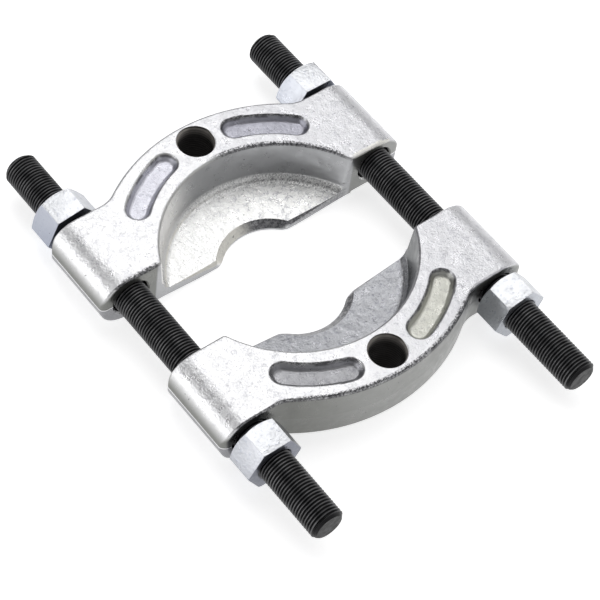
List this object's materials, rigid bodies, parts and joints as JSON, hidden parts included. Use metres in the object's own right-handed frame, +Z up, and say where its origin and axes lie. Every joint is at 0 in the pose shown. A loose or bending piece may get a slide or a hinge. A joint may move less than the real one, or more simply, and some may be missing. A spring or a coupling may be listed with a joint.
{
  "type": "bearing separator",
  "caption": "Split bearing separator: forged half-ring jaws with thin wedge blades, drawn together by nuts on threaded studs, with threaded holes for puller legs.",
  "frame": {"origin": "midway between the two leg holes, in the opening for the shaft, on the plane of the flat lands under the blades", "axes": "+X from the left stud to the right stud, +Y along the studs towards the rear jaw, +Z up, out of the jaws' open tops"},
  "size_m": [0.1656, 0.228, 0.0274],
  "materials": {
    "jaw_zinc": "satin bright zinc over a forged skin",
    "stud_black_oxide": "black oxide, lightly oiled",
    "nut_zinc": "satin bright zinc"
  },
  "bodies": {
    "studs": {"left_stud": "stud_black_oxide", "right_stud": "stud_black_oxide"},
    "rear_jaw": {"rear_jaw": "jaw_zinc"},
    "front_jaw": {"front_jaw": "jaw_zinc"},
    "rear_nut_left": {"rear_nut_left": "nut_zinc"},
    "rear_nut_right": {"rear_nut_right": "nut_zinc"},
    "front_nut_left": {"front_nut_left": "nut_zinc"},
    "front_nut_right": {"front_nut_right": "nut_zinc"}
  },
  "joints": [
    {"name": "rear_jaw_slide", "type": "slide", "parent": "studs", "child": "rear_jaw", "axis": [0, 1, 0], "range_m": [-0.02175, 0.0255]},
    {"name": "front_jaw_slide", "type": "slide", "parent": "studs", "child": "front_jaw", "axis": [0, -1, 0], "range_m": [-0.02175, 0.033]},
    {"name": "rear_nut_left_turn", "type": "hinge", "parent": "rear_jaw", "child": "rear_nut_left", "pos_m": [-0.0675, 0.0715, 0.0144], "axis": [0, 1, 0], "range_deg": [-5260, 6180]},
    {"name": "rear_nut_right_turn", "type": "hinge", "parent": "rear_jaw", "child": "rear_nut_right", "pos_m": [0.0675, 0.0715, 0.0144], "axis": [0, 1, 0], "range_deg": [-5260, 6180]},
    {"name": "front_nut_left_turn", "type": "hinge", "parent": "front_jaw", "child": "front_nut_left", "pos_m": [-0.0675, -0.0727, 0.0144], "axis": [0, -1, 0], "range_deg": [-5260, 7980]},
    {"name": "front_nut_right_turn", "type": "hinge", "parent": "front_jaw", "child": "front_nut_right", "pos_m": [0.0675, -0.0727, 0.0144], "axis": [0, -1, 0], "range_deg": [-5260, 7980]}
  ],
  "couplings": [
    {"joint": "rear_nut_left_turn", "follows": "rear_jaw_slide", "rad_per_m": 4188.8},
    {"joint": "rear_nut_right_turn", "follows": "rear_jaw_slide", "rad_per_m": 4188.8},
    {"joint": "front_nut_left_turn", "follows": "front_jaw_slide", "rad_per_m": 4188.8},
    {"joint": "front_nut_right_turn", "follows": "front_jaw_slide", "rad_per_m": 4188.8}
  ]
}
